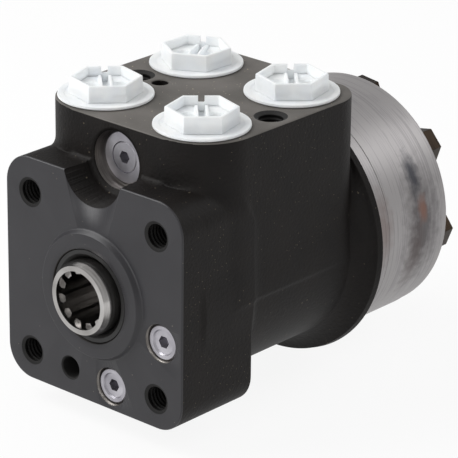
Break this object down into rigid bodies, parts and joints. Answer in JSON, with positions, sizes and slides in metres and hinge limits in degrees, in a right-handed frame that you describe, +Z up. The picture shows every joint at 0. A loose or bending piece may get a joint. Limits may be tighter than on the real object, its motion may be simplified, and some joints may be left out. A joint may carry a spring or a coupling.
{
  "type": "orbital steering unit",
  "caption": "Hydraulic steering unit: black cast valve housing with a square flange and splined shaft socket, capped ports on top and a round gerotor gear set behind.",
  "frame": {"origin": "where the shaft axis meets the mounting flange's face, the centre of its bolt square", "axes": "-Y out of the flange face along the shaft, towards the steering column; +Y along the shaft to the gear set; +Z up to the port face; +X to the right seen from the column"},
  "size_m": [0.0964, 0.1514, 0.1131],
  "materials": {
    "cast_iron_black": "as-cast body painted black, front face machined then painted",
    "machined_steel": "turned steel, fine lathe lines",
    "ground_steel": "ground and hardened steel",
    "zinc_steel": "zinc plated",
    "screw_steel": "dark oxide with yellow zinc edges",
    "spring_steel": "blued spring steel",
    "bearing_brass": "pressed brass",
    "seal_rubber": "black nitrile rubber",
    "cap_plastic": "translucent white moulded polyethylene"
  },
  "bodies": {
    "housing_body": {"housing": "cast_iron_black", "dust_seal": "seal_rubber", "shaft_seal": "seal_rubber", "bearing_front_race": "ground_steel", "distributor_plate": "machined_steel", "gear_ring": "machined_steel", "end_cover": "machined_steel", "plate_seal": "seal_rubber", "ring_seal": "seal_rubber", "cover_seal": "seal_rubber", "cover_screws": "screw_steel", "locating_screw": "screw_steel", "cover_washers": "screw_steel", "relief_plug": "zinc_steel", "relief_screw": "zinc_steel", "relief_seat": "ground_steel", "relief_spring": "spring_steel", "shock_plugs": "zinc_steel", "shock_springs": "spring_steel", "shock_seats": "ground_steel", "suction_pins": "spring_steel", "check_bush": "zinc_steel"},
    "sleeve_body": {"sleeve": "ground_steel", "cross_pin": "ground_steel", "spring_ring": "machined_steel", "bearing_rear_race": "ground_steel"},
    "spool_body": {"spool": "ground_steel", "flat_springs": "spring_steel", "arched_springs": "spring_steel"},
    "needle_body": {"bearing_cage": "bearing_brass", "bearing_needles": "ground_steel"},
    "orbit_body": {"end_spacer": "ground_steel"},
    "rotor_body": {"gear_rotor": "ground_steel"},
    "cardan_body": {"cardan_shaft": "ground_steel"},
    "relief_body": {"relief_poppet": "ground_steel"},
    "shock_right_body": {"shock_ball_right": "ground_steel"},
    "shock_low_body": {"shock_ball_low": "ground_steel"},
    "suction_right_body": {"suction_ball_right": "ground_steel"},
    "suction_left_body": {"suction_ball_left": "ground_steel"},
    "check_body": {"check_ball": "ground_steel"},
    "cap_front_left_body": {"cap_front_left": "cap_plastic"},
    "cap_front_right_body": {"cap_front_right": "cap_plastic"},
    "cap_rear_left_body": {"cap_rear_left": "cap_plastic"},
    "cap_rear_right_body": {"cap_rear_right": "cap_plastic"}
  },
  "joints": [
    {"name": "sleeve_spin", "type": "hinge", "parent": "housing_body", "child": "sleeve_body", "pos_m": [0, 0, 0], "axis": [0, 1, 0], "continuous": true},
    {"name": "spool_turn", "type": "hinge", "parent": "sleeve_body", "child": "spool_body", "pos_m": [0, 0, 0], "axis": [0, 1, 0], "range_deg": [-8, 8], "stiffness_Nm_per_rad": 2, "deforming": ["flat_springs", "arched_springs"]},
    {"name": "needle_spin", "type": "hinge", "parent": "housing_body", "child": "needle_body", "pos_m": [0, 0, 0], "axis": [0, 1, 0], "continuous": true},
    {"name": "rotor_orbit", "type": "hinge", "parent": "housing_body", "child": "orbit_body", "pos_m": [0, 0, 0], "axis": [0, 1, 0], "continuous": true},
    {"name": "rotor_spin", "type": "hinge", "parent": "orbit_body", "child": "rotor_body", "pos_m": [0, 0.117, 0.0038], "axis": [0, 1, 0], "continuous": true},
    {"name": "cardan_spin", "type": "hinge", "parent": "orbit_body", "child": "cardan_body", "pos_m": [0, 0.072, 0], "axis": [0, 0.9968, 0.0802], "continuous": true},
    {"name": "relief_lift", "type": "slide", "parent": "housing_body", "child": "relief_body", "axis": [0, -1, 0], "range_m": [0, 0.002], "stiffness_N_per_m": 200, "springref_m": -0.004, "deforming": ["relief_spring"]},
    {"name": "shock_right_lift", "type": "slide", "parent": "housing_body", "child": "shock_right_body", "axis": [0, -1, 0], "range_m": [0, 0.002], "stiffness_N_per_m": 100, "springref_m": -0.004, "deforming": ["shock_springs"]},
    {"name": "shock_low_lift", "type": "slide", "parent": "housing_body", "child": "shock_low_body", "axis": [0, -1, 0], "range_m": [0, 0.002], "stiffness_N_per_m": 100, "springref_m": -0.004, "deforming": ["shock_springs"]},
    {"name": "suction_right_lift", "type": "slide", "parent": "housing_body", "child": "suction_right_body", "axis": [0, 1, 0], "range_m": [0, 0.0019]},
    {"name": "suction_left_lift", "type": "slide", "parent": "housing_body", "child": "suction_left_body", "axis": [0, 1, 0], "range_m": [0, 0.0019]},
    {"name": "check_lift", "type": "slide", "parent": "housing_body", "child": "check_body", "axis": [0, 0, 1], "range_m": [0, 0.0018]},
    {"name": "cap_front_left_lift", "type": "slide", "parent": "housing_body", "child": "cap_front_left_body", "axis": [0, 0, 1], "range_m": [0, 0.04]},
    {"name": "cap_front_right_lift", "type": "slide", "parent": "housing_body", "child": "cap_front_right_body", "axis": [0, 0, 1], "range_m": [0, 0.04]},
    {"name": "cap_rear_left_lift", "type": "slide", "parent": "housing_body", "child": "cap_rear_left_body", "axis": [0, 0, 1], "range_m": [0, 0.04]},
    {"name": "cap_rear_right_lift", "type": "slide", "parent": "housing_body", "child": "cap_rear_right_body", "axis": [0, 0, 1], "range_m": [0, 0.04]}
  ],
  "couplings": [
    {"joint": "rotor_orbit", "follows": "sleeve_spin", "ratio": -6},
    {"joint": "rotor_spin", "follows": "sleeve_spin", "ratio": 7},
    {"joint": "cardan_spin", "follows": "sleeve_spin", "ratio": 7},
    {"joint": "needle_spin", "follows": "sleeve_spin", "ratio": 0.5}
  ]
}
